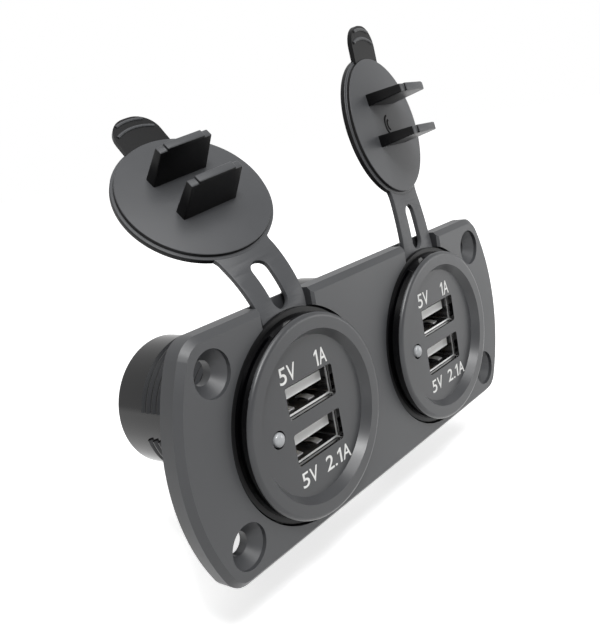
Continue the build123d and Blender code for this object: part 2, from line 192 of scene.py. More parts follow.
@dataclass(frozen=True)
class Finish:
    """A surface finish, named for the real material."""

    name: str

    def shader(self, tree: NodeTree) -> Node:
        """Builds the finish's shader in a node tree."""
        raise NotImplementedError

    def material(self) -> Material:
        """Makes a material of the finish."""
        material = bpy.data.materials.new(self.name)
        material.use_nodes = True
        tree = material.node_tree
        tree.nodes.clear()
        add_node(tree, "ShaderNodeOutputMaterial", {"Surface": self.shader(tree).outputs[0]})
        return material


@dataclass(frozen=True)
class Moulded(Finish):
    """Plastic or rubber out of a mould.

    A slow clouding varies its colour a little, and a grain from the spark-eroded mould breaks up
    its gloss. The real grain of 0.1 mm is too fine to show, so it is drawn three times as wide.
    """

    colour: str
    clouded: str
    roughness: float
    gloss_spread: float = 0.06
    grain_mm: float = 0.3
    grain_depth_mm: float = 0.004
    cloud_mm: float = 14.0
    ior: float = 1.5
    specular: float = 0.5

    def shader(self, tree: NodeTree) -> Node:
        """Builds the satin shader, with its clouding and its grain."""
        cloud, fine = grain(tree, self.cloud_mm), grain(tree, self.grain_mm)
        colours = {0: cloud, 6: linear(self.colour), 7: linear(self.clouded)}
        low, high = self.roughness - self.gloss_spread, self.roughness + self.gloss_spread
        gloss = {"Value": cloud, "To Min": low, "To Max": high}
        bump = {"Height": fine, "Distance": self.grain_depth_mm * MM}
        look = {
            "Base Color": add_node(tree, "ShaderNodeMix", colours, data_type="RGBA").outputs[2],
            "Roughness": add_node(tree, "ShaderNodeMapRange", gloss).outputs[0],
            "IOR": self.ior,
            "Specular IOR Level": self.specular,
            "Normal": add_node(tree, "ShaderNodeBump", bump).outputs[0],
        }
        return add_node(tree, "ShaderNodeBsdfPrincipled", look)


@dataclass(frozen=True)
class SocketMoulding(Finish):
    """ABS socket moulding: a satin, spark-eroded grey front, and near black wherever a face does
    not look to the front.

    The mould's front is textured to match the panel, and its other walls are glossy. The barrel is
    black of its own. On the flange's rim and the port windows' walls, the black is painted shade
    beside the grey front.
    """

    front: Moulded
    barrel_and_painted_shade_colour: str
    barrel_roughness: float
    barrel_specular: float
    front_normal_y: float
    barrel_ior: float = 1.52

    def shader(self, tree: NodeTree) -> Node:
        """Mixes the grey front's shader and the black one, the barrel's and painted shade, by face
        direction.
        """
        normal = add_node(tree, "ShaderNodeTexCoord").outputs["Normal"]
        depth = add_node(tree, "ShaderNodeSeparateXYZ", {0: normal}).outputs["Y"]
        levels = {0: depth, 1: self.front_normal_y}
        # The barrel's own black, which is also painted shade on the flange's rim and in the port
        # windows.
        look = {
            "Base Color": linear(self.barrel_and_painted_shade_colour),
            "Roughness": self.barrel_roughness,
            "IOR": self.barrel_ior,
            "Specular IOR Level": self.barrel_specular,
        }
        both = {
            0: add_node(tree, "ShaderNodeMath", levels, operation="GREATER_THAN").outputs[0],
            1: self.front.shader(tree).outputs[0],
            2: add_node(tree, "ShaderNodeBsdfPrincipled", look).outputs[0],
        }
        return add_node(tree, "ShaderNodeMixShader", both)


@dataclass(frozen=True)
class SheetMetal(Finish):
    """Plated sheet metal, with the fine lines that rolling leaves in it."""

    colour: str
    roughness: float
    line_mm: float = 0.25
    line_depth_mm: float = 0.0015
    line_stretch: Triple = (1.0, 0.08, 1.0)
    gloss_range: tuple[float, float] = (0.8, 1.25)

    def shader(self, tree: NodeTree) -> Node:
        """Builds the metal shader, with its rolled lines."""
        lines = grain(tree, self.line_mm, self.line_stretch)
        low, high = (self.roughness * share for share in self.gloss_range)
        gloss = {"Value": lines, "To Min": low, "To Max": high}
        bump = {"Height": lines, "Distance": self.line_depth_mm * MM}
        look = {
            "Base Color": linear(self.colour),
            "Metallic": 1.0,
            "Roughness": add_node(tree, "ShaderNodeMapRange", gloss).outputs[0],
            "Normal": add_node(tree, "ShaderNodeBump", bump).outputs[0],
        }
        return add_node(tree, "ShaderNodeBsdfPrincipled", look)


@dataclass(frozen=True)
class ClearLens(Finish):
    """Frosted polycarbonate of an unlit indicator: milky inside, with a smooth dome."""

    name: str = "Polycarbonate lens"
    colour: str = "c4c6c8"
    shaded: str = "9a9da0"
    transmission: float = 0.25
    roughness: float = 0.12
    ior: float = 1.58
    cloud_mm: float = 1.2

    def shader(self, tree: NodeTree) -> Node:
        """Builds the milky shader, which lets some light through."""
        cloud = grain(tree, self.cloud_mm)
        colours = {0: cloud, 6: linear(self.shaded), 7: linear(self.colour)}
        look = {
            "Base Color": add_node(tree, "ShaderNodeMix", colours, data_type="RGBA").outputs[2],
            "Roughness": self.roughness,
            "IOR": self.ior,
            "Transmission Weight": self.transmission,
        }
        return add_node(tree, "ShaderNodeBsdfPrincipled", look)


@dataclass(frozen=True)
class StudioCard(Finish):
    """Card under the object: white where it is seen, but for its shadow, and duller as a light."""

    name: str = "White studio card"
    card: str = "f2f2f2"
    dim: str = "8c8c8c"
    shadow_depth: float = 0.32
    shadow_fades_mm: tuple[float, float] = (120.0, 420.0)

    def shader(self, tree: NodeTree) -> Node:
        """Builds the card's shader, whose shadow fades away from the object."""
        place = add_node(tree, "ShaderNodeTexCoord").outputs["Object"]
        near, far = self.shadow_fades_mm
        away = add_node(tree, "ShaderNodeVectorMath", {0: place}, operation="LENGTH")
        fade = {
            "Value": away.outputs[1],
            "From Min": near * MM,
            "From Max": far * MM,
            "To Min": 1 - self.shadow_depth,
            "To Max": 1.0,
        }
        level = add_node(tree, "ShaderNodeMapRange", fade, interpolation_type="SMOOTHSTEP")
        light = {"Color": WHITE, "Strength": level.outputs[0]}
        lit = {
            0: add_node(tree, "ShaderNodeBsdfDiffuse", {"Color": linear(self.card)}).outputs[0],
            1: add_node(tree, "ShaderNodeEmission", light).outputs[0],
        }
        both = {
            0: seen_directly(tree),
            1: add_node(tree, "ShaderNodeBsdfDiffuse", {"Color": linear(self.dim)}).outputs[0],
            2: add_node(tree, "ShaderNodeAddShader", lit).outputs[0],
        }
        return add_node(tree, "ShaderNodeMixShader", both)


# Dark grey ABS with a satin grain, which spreads a highlight wide over the panel.
PANEL_ABS = Moulded("ABS panel, spark-eroded", "343537", "3c3d3f", 0.44, specular=0.45)

# The sockets' fronts are a little darker and sleeker than the panel, and shine in their dishes.
FRONT_ABS = Moulded(
    "ABS socket front", "303133", "38393b", 0.33, grain_depth_mm=0.003, specular=0.4
)
# Faces that don't look to the front are near black: the barrel's own colour, and painted shade on
# the flange's rim and the port windows' walls.
SOCKET_ABS = SocketMoulding("ABS socket moulding", FRONT_ABS, "020203", 0.12, 0.35, -0.25)

# Nylon is softer in its gloss than the ABS barrel that it sits on.
NUT_NYLON = Moulded("Nylon ring nut", "131315", "1a1a1c", 0.38, grain_depth_mm=0.003)

# Rubber: a grey bloom on the textured faces. The near black is painted shade, a darker copy of the
# # same rubber on the ring, the tab, the gate marks, the cap's rim and the blades' sides.
COVER_RUBBER = Moulded(
    "Thermoplastic rubber", "3e3f41", "464749", 0.4,
    gloss_spread=0.08, grain_mm=0.4, cloud_mm=9.0, specular=0.25,
)
# Near-black copy of the cover rubber, used as painted shade.
RUBBER_PAINTED_SHADE = Moulded(
    "Thermoplastic rubber, polished", "070708", "0b0b0c", 0.4,
    gloss_spread=0.04, grain_depth_mm=0.002, specular=0.15,
)

# In the ports: white tongues; shell steel drawn darker than its nickel, painted shade inside the
# # ports; near-white steel on the mouths and spring leaves, a painted highlight.
TONGUE_PBT = Moulded("White PBT insulator", "f4f4f2", "fafaf8", 0.4, grain_depth_mm=0.002)
SHELL_STEEL_IN_PAINTED_SHADE = SheetMetal("Nickel-plated steel shell", "7b7b7c", 0.24)
STEEL_PAINTED_HIGHLIGHT = SheetMetal("Nickel-plated steel, bright", "f2f2f1", 0.42)
CONTACT_GOLD = SheetMetal("Gold-plated bronze contact", "d9b25f", 0.2)

# Behind the panel and inside the barrels.
TERMINAL_TIN = SheetMetal("Tin-plated brass spade", "c3c4c2", 0.3)
BOARD_FR4 = Moulded("Glass-epoxy board, green mask", "14522f", "1a6138", 0.35, grain_mm=0.5)
CHOKE_FERRITE = Moulded("Ferrite drum choke", "2b2a2a", "383536", 0.6)
CAPACITOR_CAN = SheetMetal("Aluminium capacitor can", "c9cbcd", 0.3)
CHIP_EPOXY = Moulded("Epoxy chip package", "17181a", "202124", 0.55)

# Flat white ink of the printed ratings.
RATING_INK = Moulded("White pad-printing ink", "e2e2e0", "eaeae8", 0.5, grain_depth_mm=0.001)


def frame_box(node: str) -> tuple[Vector, Vector]:
    """Gives a node's lowest and highest corner in millimetres."""
    low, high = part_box(node)
    return low / MM, high / MM


def deselect() -> None:
    """Leaves edit mode and deselects every object."""
    if bpy.context.object and bpy.context.object.mode != "OBJECT":
        bpy.ops.object.mode_set(mode="OBJECT")
    bpy.ops.object.select_all(action="DESELECT")


def activate(*objects: Object) -> None:
    """Selects only these objects and makes the first one active."""
    deselect()
    for each in objects:
        each.select_set(True)
    bpy.context.view_layer.objects.active = objects[0]


def edit_all(obj: Object) -> None:
    """Enters edit mode with the whole mesh selected."""
    activate(obj)
    bpy.ops.object.mode_set(mode="EDIT")
    bpy.ops.mesh.select_all(action="SELECT")


def select_faces(obj: Object, wanted: Callable[[MeshPolygon], bool]) -> None:
    """Enters edit mode with only some faces selected.

    Args:
        obj: the mesh object.
        wanted: says of a face whether it is to be selected.
    """
    edit_all(obj)
    bpy.ops.mesh.select_all(action="DESELECT")
    bpy.ops.mesh.select_mode(type="FACE")
    bpy.ops.object.mode_set(mode="OBJECT")
    for face in obj.data.polygons:
        face.select = wanted(face)
    bpy.ops.object.mode_set(mode="EDIT")


def apply_modifier(obj: Object, kind: str, **settings: Any) -> None:
    """Adds a modifier, sets it and applies it.

    Args:
        obj: the object to change.
        kind: Blender's type name of the modifier.
        settings: the modifier's properties.
    """
    activate(obj)
    modifier = obj.modifiers.new(kind.title(), kind)
    for name, value in settings.items():
        setattr(modifier, name, value)
    bpy.ops.object.modifier_apply(modifier=modifier.name)


def round_edges(obj: Object, width: float, segments: int = 3, angle_limit: float = 1.0) -> None:
    """Rounds an object's edges.

    Args:
        obj: the object to change.
        width: how wide the rounding is, in millimetres.
        segments: how many flats the rounding has.
        angle_limit: the least angle of an edge that is rounded, in radians.
    """
    look = {"segments": segments, "limit_method": "ANGLE", "angle_limit": angle_limit}
    apply_modifier(obj, "BEVEL", width=width * MM, **look)


def settle(obj: Object) -> None:
    """Puts an object's place, turn and size into its mesh."""
    activate(obj)
    bpy.ops.object.transform_apply(location=True, rotation=True, scale=True)


def join(name: str, objects: list[Object]) -> Object:
    """Joins mesh objects into one.

    Args:
        name: the joined object's name.
        objects: the objects, of which the first is kept.

    Returns:
        The joined object.
    """
    activate(*objects)
    if len(objects) > 1:
        bpy.ops.object.join()
    joined = objects[0]
    joined.name = joined.data.name = name
    return joined


def smooth(obj: Object, angle_deg: float = 40.0) -> None:
    """Shades an object smooth up to an angle."""
    activate(obj)
    bpy.ops.object.shade_smooth_by_angle(angle=math.radians(angle_deg))


def finished(obj: Object, material: Material) -> Object:
    """Gives a new piece its material.

    Args:
        obj: the piece.
        material: its finish.

    Returns:
        The piece.
    """
    obj.data.materials.clear()
    obj.data.materials.append(material)
    return obj


def placed(name: str, data: Any) -> Object:
    """Puts an object with this data into the scene."""
    made = bpy.data.objects.new(name, data)
    bpy.context.scene.collection.objects.link(made)
    return made


def curve_mesh(curve: Curve) -> Object:
    """Turns a curve into a mesh object."""
    made = placed(curve.name, curve)
    activate(made)
    bpy.ops.object.convert(target="MESH")
    return made


def flat_plate(outlines: list[Outline], thickness: float) -> Object:
    """Makes a plate from outlines in the XY plane.

    Args:
        outlines: closed outlines of points with handles before and after them, in millimetres. A
            handle of None makes that end straight.
        thickness: the plate's thickness, to both sides of the plane in the middle.

    Returns:
        The plate as a mesh.
    """
    curve = bpy.data.curves.new("outline", "CURVE")
    curve.dimensions = "2D"
    curve.fill_mode = "BOTH"
    curve.extrude = thickness / 2 * MM
    for outline in outlines:
        spline = curve.splines.new("BEZIER")
        spline.bezier_points.add(len(outline) - 1)
        spline.use_cyclic_u = True
        spline.resolution_u = CURVE_STEPS
        for point, (place, before, after) in zip(spline.bezier_points, outline):
            point.co = (place[0] * MM, place[1] * MM, 0)
            for end, handle in (("left", before), ("right", after)):
                setattr(point, f"handle_{end}_type", "FREE" if handle else "VECTOR")
                if handle:
                    setattr(point, f"handle_{end}", (handle[0] * MM, handle[1] * MM, 0))
    return curve_mesh(curve)


def straight(*corners: tuple[float, float]) -> Outline:
    """Gives an outline with straight sides."""
    return [(corner, None, None) for corner in corners]


def with_mirror(right: Outline) -> Outline:
    """Completes the right half of an outline with its mirror image."""
    left = [
        ((-p[0], p[1]), after and (-after[0], after[1]), before and (-before[0], before[1]))
        for p, before, after in reversed(right)
    ]
    return right + left


def stand_plate(plate: Object, x: float, y: float) -> None:
    """Stands a plate from the XY plane upright, at an x and a depth y in millimetres."""
    plate.rotation_euler = UPRIGHT
    plate.location = Vector((x, y, 0)) * MM
    settle(plate)


def cylinder(radius: float, depth: float, middle: Vector) -> Object:
    """Makes a cylinder along the Y axis, its sizes and middle given in millimetres."""
    deselect()
    bpy.ops.mesh.primitive_cylinder_add(
        vertices=ROUND_STEPS,
        radius=radius * MM,
        depth=depth * MM,
        location=middle * MM,
        rotation=UPRIGHT,
    )
    made = bpy.context.object
    settle(made)
    return made


def stand_in(plate: Object, place: Matrix) -> None:
    """Stands a plate from the XY plane upright in a place worked out in millimetres."""
    metres = place @ Matrix.Rotation(UPRIGHT[0], 4, "X")
    metres.translation = metres.translation * MM
    plate.matrix_world = metres
    settle(plate)


def joint_named(name: str) -> dict[str, Any]:
    """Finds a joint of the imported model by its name."""
    return next(joint for joint in frame["joints"] if joint["name"] == name)


def turned(place: Vector, axis: Vector, degrees: float) -> Matrix:
    """Gives the turn about an axis through a place, both in millimetres."""
    away = Matrix.Translation(place)
    return away @ Matrix.Rotation(math.radians(degrees), 4, axis) @ away.inverted()


def joint_turn(joint: dict[str, Any], degrees: float) -> Matrix:
    """Gives the turn that a joint makes from rest, in millimetres."""
    return turned(Vector(joint["pos_m"]) / MM, Vector(joint["axis"]), degrees)


@dataclass
class CoverFolds:
    """Where a cover's two folds lie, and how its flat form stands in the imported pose.

    The flat form is the cover straight up above its socket, with the cap's blades to the front.
    """

    side: Side
    lower: Vector = field(init=False)
    upper_flat: Vector = field(init=False)
    strap_stands: Matrix = field(init=False)
    cap_stands: Matrix = field(init=False)

    def __post_init__(self) -> None:
        """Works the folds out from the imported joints."""
        low_joint = joint_named(self.side.of("lower_fold"))
        high_joint = joint_named(self.side.of("upper_fold"))
        shut = low_joint["range_deg"][1]
        across = Vector((1, 0, 0))
        self.lower = Vector(low_joint["pos_m"]) / MM
        close_strap = joint_turn(low_joint, shut)
        close_cap = close_strap @ joint_turn(high_joint, shut)
        upper_shut = close_strap @ (Vector(high_joint["pos_m"]) / MM)
        forward = turned(self.lower, across, 90)
        self.upper_flat = forward.inverted() @ upper_shut
        self.strap_stands = close_strap.inverted() @ forward
        self.cap_stands = close_cap.inverted() @ turned(upper_shut, across, 90) @ forward


@dataclass
class RubberCover:
    """The rubber cover of one socket: ring, strap with its long slot, cap, blades and tab.

    It is moulded flat, and its strap is then curved into the open pose. It is cut where the lower
    bend ends and the upper one starts, so that each half bends over one joint only.
    """

    side: Side
    ring_radius: float = 19.3
    ring_bore: float = 14.1
    ring_back: float = -1.9
    ring_depth: float = 2.2
    ring_edge_round: float = 0.2
    strap_width: float = 11.9
    strap_thickness: float = 1.0
    strap_foot: float = 17.0
    strap_edge_round: float = 0.14
    strap_under_cap: float = 2.0
    weld_distance: float = 0.002
    row_pitch: float = 0.45
    flare_width: float = 12.5
    flare_length: float = 1.6
    slot_width: float = 3.7
    slot_foot: float = 19.6
    slot_to_cap: float = 2.3
    lower_reach: float = 1.7
    cap_from_fold: float = 20.1
    cap_radius: float = 14.9
    cap_face_radius: float = 14.3
    cap_thickness: float = 1.9
    lip_thickness: float = 1.1
    cap_edge_round: float = 0.22
    rim_normal_y: float = 0.5
    blade_offset_x: float = 0.3
    blade_width: float = 12.2
    blade_tip_width: float = 11.5
    blade_root: float = 2.5
    blade_tip: float = 1.6
    blade_tip_lift: float = 0.5
    blade_length: float = 8.2
    blade_crown: float = 0.5
    blade_crown_inset: float = 1.6
    blade_round: float = 0.42
    blade_round_angle: float = 0.8
    blade_end_normal_y: float = -0.6
    blade_sunk: float = 0.3
    blade_lows: tuple[float, float] = (1.85, -6.85)
    tab_width: float = 9.9
    tab_length: float = 6.8
    tab_thickness: float = 1.0
    tab_step: float = 0.25
    tab_lean_deg: float = 6.0
    tab_corner: float = 4.4
    tab_edge_round: float = 0.25
    tab_foot_share: float = 0.75
    ridge_radius: float = 0.33
    ridge_bow: float = 9.0
    ridge_spacing: float = 1.8
    ridge_from_tip: float = 0.75
    ridge_reaches: tuple[float, ...] = (3.0, 4.1)
    ridge_sunk: float = 0.05
    bead_points: int = 25
    gate_mark_radii: tuple[float, float] = (1.0, 2.0)
    gate_mark_x: float = 1.2
    gate_mark_reach: float = 0.95
    gate_mark_height: float = 0.5

    def build(self, satin: Material, painted_shade: Material) -> list[Object]:
        """Builds both halves of the cover.

        Args:
            satin: finish of the textured faces.
            painted_shade: near-black rubber, painted shade on the ring, the tab, the gate marks,
                the cap's rim and the blades' sides.

        Returns:
            The lower half, with the ring, and the upper half, with the cap.
        """
        self.folds = CoverFolds(self.side)
        self.axis_x = self.folds.lower.x
        self.strap_y = self.folds.lower.y
        self.cap_back = self.strap_y + self.strap_thickness / 2
        self.cap_face = self.cap_back - self.cap_thickness
        self.cap_z = self.folds.upper_flat.z + self.cap_from_fold
        self.cut_z = self.folds.lower.z + self.lower_reach
        self.upper_reach = self.folds.upper_flat.z - self.cut_z
        lower_strap, ring = self.strap(upper=False), self.ring()
        disc = self.disc()
        matt = [self.strap(upper=True), disc, *self.ridges()]
        blades = [self.blade(low) for low in self.blade_lows]
        painted_dark = [self.tab(), *(self.gate_mark(radius) for radius in self.gate_mark_radii)]
        for piece in [lower_strap, ring] + matt + blades + painted_dark:
            piece.data.materials.clear()
            piece.data.materials.append(satin)
            piece.data.materials.append(painted_shade)
        # Ring, tab and gate marks are wholly painted shade. The cap's rim and the blades' sides
        # get it too, and faces to the front stay grey.
        for piece in (ring, *painted_dark):
            self.paint_shade(piece, lambda normal: True)
        self.paint_shade(disc, lambda normal: abs(normal.y) < self.rim_normal_y)
        for blade in blades:
            self.paint_shade(blade, lambda normal: normal.y > self.blade_end_normal_y)
        lower = join(self.side.of("cover_ring_and_strap"), [lower_strap, ring])
        upper = join(self.side.of("cover_cap_and_strap"), matt + blades + painted_dark)
        for half in (lower, upper):
            self.stand_open(half)
            smooth(half)
        return [lower, upper]

    def paint_shade(self, piece: Object, wanted: Callable[[Vector], bool]) -> None:
        """Gives a piece's faces the near-black rubber of painted shade where their normal is
        wanted.
        """
        for face in piece.data.polygons:
            face.material_index = 1 if wanted(face.normal) else 0

    def ring(self) -> Object:
        """Makes the flat ring that the flange clamps."""
        middle = Vector((self.axis_x, self.ring_back - self.ring_depth / 2, 0))
        ring = cylinder(self.ring_radius, self.ring_depth, middle)
        select_faces(ring, lambda face: abs(face.normal.y) > FACING)
        bpy.ops.mesh.delete(type="FACE")
        wall = self.ring_radius - self.ring_bore
        apply_modifier(ring, "SOLIDIFY", thickness=wall * MM, offset=-1.0)
        round_edges(ring, self.ring_edge_round, segments=2)
        return ring

    def strap_outline(self) -> list[Outline]:
        """Draws the strap flat: its outline, and then its slot.

        The handles by the flare are set so that it runs into the cap without a corner.
        """
        half, flare = self.strap_width / 2, self.flare_width / 2
        root = self.cap_z - math.sqrt(self.cap_radius**2 - flare**2)
        top = root + self.strap_under_cap
        bend = root - self.flare_length
        slot = self.slot_width / 2
        slot_top = self.cap_z - self.cap_radius - self.slot_to_cap
        right = [
            ((half, self.strap_foot), None, (half, self.strap_foot + 1)),
            ((half, bend), (half, bend - 1), (half, bend + 0.55 * self.flare_length)),
            ((flare, root), (flare - 0.25, root - 0.6), (flare, root + 0.5)),
            ((flare - 1.0, top), (flare - 1.0, top - 0.5), None),
        ]
        round_by = ROUND_HANDLE * slot
        foot, low, high = self.slot_foot, self.slot_foot + slot, slot_top - slot
        hole = [
            ((slot, low), (slot, low - round_by), None),
            ((slot, high), None, (slot, high + round_by)),
            ((0, slot_top), (round_by, slot_top), (-round_by, slot_top)),
            ((-slot, high), (-slot, high + round_by), None),
            ((-slot, low), None, (-slot, low - round_by)),
            ((0, foot), (-round_by, foot), (round_by, foot)),
        ]
        return [with_mirror(right), hole]

    def strap(self, upper: bool) -> Object:
        """Makes the strap's lower or upper half, with rows of edges to bend along.

        Args:
            upper: whether the half above the cut is kept.

        Returns:
            The half strap, flat.
        """
        plate = flat_plate(self.strap_outline(), self.strap_thickness)
        edit_all(plate)
        bpy.ops.mesh.remove_doubles(threshold=self.weld_distance * MM)
        round_edges(plate, self.strap_edge_round, segments=2)
        edit_all(plate)
        kept = {"use_fill": True, "clear_inner": upper, "clear_outer": not upper}
        bpy.ops.mesh.bisect(plane_co=(0, self.cut_z * MM, 0), plane_no=(0, 1, 0), **kept)
        low, high = (self.cut_z, self.cap_z) if upper else (self.strap_foot, self.cut_z)
        for row in range(1, int((high - low) / self.row_pitch)):
            bpy.ops.mesh.select_all(action="SELECT")
            place = (0, (low + row * self.row_pitch) * MM, 0)
            bpy.ops.mesh.bisect(plane_co=place, plane_no=(0, 1, 0))
        stand_plate(plate, self.axis_x, self.strap_y)
        return plate

    def disc(self) -> Object:
        """Makes the cap's disc: a lip behind and a slightly smaller raised face."""
        middle = Vector((self.axis_x, self.cap_back - self.lip_thickness / 2, self.cap_z))
        disc = cylinder(self.cap_radius, self.lip_thickness, middle)
        select_faces(disc, lambda face: face.normal.y < -FACING)
        bpy.ops.mesh.inset(thickness=(self.cap_radius - self.cap_face_radius) * MM, depth=0)
        rise = self.cap_thickness - self.lip_thickness
        bpy.ops.mesh.extrude_region_move(TRANSFORM_OT_translate={"value": (0, -rise * MM, 0)})
        round_edges(disc, self.cap_edge_round)
        return disc

    def blade(self, low: float) -> Object:
        """Makes a blade that fills the gap under a port's tongue.

        Args:
            low: height of the blade's lower side above the socket's axis, with the cap shut.

        Returns:
            The blade, standing out of the flat cap's face.
        """
        body, sunk = self.blade_length - self.blade_crown, self.blade_sunk
        root_z = self.cap_z - low - self.blade_root / 2
        tip_z = self.cap_z - low - self.blade_tip_lift - self.blade_tip / 2
        middle = Vector((self.axis_x + self.blade_offset_x, self.cap_face - body / 2, root_z))
        deselect()
        bpy.ops.mesh.primitive_cube_add(size=1, location=middle * MM)
        blade = bpy.context.object
        blade.scale = Vector((self.blade_width, body + 2 * sunk, self.blade_root)) * MM
        settle(blade)
        tip = Vector((middle.x, self.cap_face - body - sunk, root_z))
        select_faces(blade, lambda face: face.normal.y < -FACING)
        bpy.ops.transform.resize(
            value=(self.blade_tip_width / self.blade_width, 1, self.blade_tip / self.blade_root),
            center_override=tip * MM,
        )
        bpy.ops.transform.translate(value=(0, sunk * MM, (tip_z - root_z) * MM))
        crown_half = self.blade_tip_width / 2 - self.blade_crown_inset
        for cut in (-crown_half, crown_half):
            bpy.ops.mesh.select_all(action="SELECT")
            bpy.ops.mesh.bisect(plane_co=((middle.x + cut) * MM, 0, 0), plane_no=(1, 0, 0))
        select_faces(
            blade,
            lambda face: face.normal.y < -FACING
            and abs(face.center.x / MM - middle.x) < crown_half / 2,
        )
        rise = self.blade_crown * MM
        bpy.ops.mesh.extrude_region_move(TRANSFORM_OT_translate={"value": (0, -rise, 0)})
        round_edges(blade, self.blade_round, angle_limit=self.blade_round_angle)
        return blade

    def tab(self) -> Object:
        """Makes the pull tab with its rounded end."""
        half, corner = self.tab_width / 2, self.tab_corner
        low = self.cap_radius * self.tab_foot_share
        high = self.cap_face_radius + self.tab_length
        round_by = ROUND_HANDLE * corner
        right = [
            ((half, low), None, None),
            ((half, high - corner), None, (half, high - corner + round_by)),
            ((half - corner, high), (half - corner + round_by, high), None),
        ]
        plate = flat_plate([with_mirror(right)], self.tab_thickness)
        round_edges(plate, self.tab_edge_round)
        self.lean_on_cap(plate, self.tab_thickness / 2)
        return plate

    def lean_on_cap(self, plate: Object, behind: float) -> None:
        """Stands a plate of the tab up on the cap, leaning to the front.

        Args:
            plate: the plate, lying in the XY plane with the cap's centre at its origin.
            behind: how far its middle lies behind the tab's front surface.
        """
        hinge = Vector((0, self.cap_face + self.tab_step, self.cap_z + self.cap_face_radius))
        lean = turned(hinge, Vector((1, 0, 0)), self.tab_lean_deg)
        middle = Matrix.Translation((self.axis_x, hinge.y + behind, self.cap_z))
        stand_in(plate, lean @ middle)

    def ridges(self) -> list[Object]:
        """Makes the tab's grip ridges, bowed towards its tip."""
        made = []
        tip = self.cap_face_radius + self.tab_length
        for number, reach in enumerate(self.ridge_reaches):
            top = tip - self.ridge_from_tip - number * self.ridge_spacing
            made.append(self.arc(Vector((0, top - self.ridge_bow)), self.ridge_bow, reach, 90))
            self.lean_on_cap(made[-1], self.ridge_sunk)
        return made

    def arc(self, centre: Vector, radius: float, reach: float, middle_deg: float) -> Object:
        """Makes a round bead along an arc in the XY plane.

        Args:
            centre: the arc's centre.
            radius: the arc's radius.
            reach: how far the arc reaches to each side of its middle.
            middle_deg: direction of the arc's middle from its centre.

        Returns:
            The bead as a mesh.
        """
        spread = math.asin(min(1.0, reach / radius))
        curve = bpy.data.curves.new("bead", "CURVE")
        curve.dimensions = "3D"
        curve.bevel_depth = self.ridge_radius * MM
        curve.bevel_resolution = 3
        curve.use_fill_caps = True
        spline = curve.splines.new("POLY")
        last = self.bead_points - 1
        spline.points.add(last)
        for number, point in enumerate(spline.points):
            angle = math.radians(middle_deg) + spread * (2 * number / last - 1)
            x = centre.x + radius * math.cos(angle)
            y = centre.y + radius * math.sin(angle)
            point.co = (x * MM, y * MM, 0, 1)
        return curve_mesh(curve)

    def gate_mark(self, radius: float) -> Object:
        """Makes one of the arcs that the mould's gate leaves between the blades."""
        centre = Vector((self.gate_mark_x, 0))
        bead = self.arc(centre, radius, radius * self.gate_mark_reach, 180)
        bead.scale = (1, 1, self.gate_mark_height)
        settle(bead)
        stand_in(bead, Matrix.Translation((self.axis_x, self.cap_face, self.cap_z)))
        return bead

    def bent(self, flat: Vector, fold: Vector, turn: Quaternion, reach: float) -> Vector:
        """Bends a point of the flat cover round a fold, in an even arc.

        Each cross-section has turned by its share of the whole turn, about a pivot halfway along
        the arc so far. So the arc ends just where the rigid turn about the fold would put it.

        Args:
            flat: the point, in the flat form.
            fold: a point on the fold line, in the flat form.
            turn: the whole turn of the fold.
            reach: how far the arc reaches to each side of the fold.

        Returns:
            The point, bent.
        """
        along = min(2 * reach, flat.z - fold.z + reach)
        if along <= 0:
            return flat
        pivot = fold + Vector((0, 0, along / 2 - reach))
        return pivot + Quaternion().slerp(turn, along / (2 * reach)) @ (flat - pivot)

    def stand_open(self, half: Object) -> None:
        """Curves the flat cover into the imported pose.

        The folds are askew, which no bend operator allows for. So each point above the cut is
        bent round the upper fold and then stood up with the strap, and each one below it is bent
        round the lower fold.

        Args:
            half: the lower or upper half, flat.
        """
        folds = self.folds
        lower_turn = folds.strap_stands.to_quaternion()
        upper_turn = (folds.strap_stands.inverted() @ folds.cap_stands).to_quaternion()
        for vertex in half.data.vertices:
            flat = vertex.co / MM
            if flat.z <= self.cut_z + LEVEL_MARGIN:
                moved = self.bent(flat, folds.lower, lower_turn, self.lower_reach)
            else:
                moved = self.bent(flat, folds.upper_flat, upper_turn, self.upper_reach)
                moved = folds.strap_stands @ moved
            vertex.co = moved * MM

    def attach(self, halves: list[Object]) -> None:
        """Hides the solids that the halves stand for, and puts the halves' placement into their
        meshes.
        """
        name = self.side.value
        lower, upper = halves
        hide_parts(f"{name}_cover_ring", f"{name}_strap_link")
        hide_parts(f"{name}_cap")
        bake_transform(lower)
        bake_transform(upper)


@dataclass(frozen=True)
class Rating:
    """One printed mark on a socket's face, with the box that it fills."""

    text: str
    left: float
    right: float
    low: float
    high: float


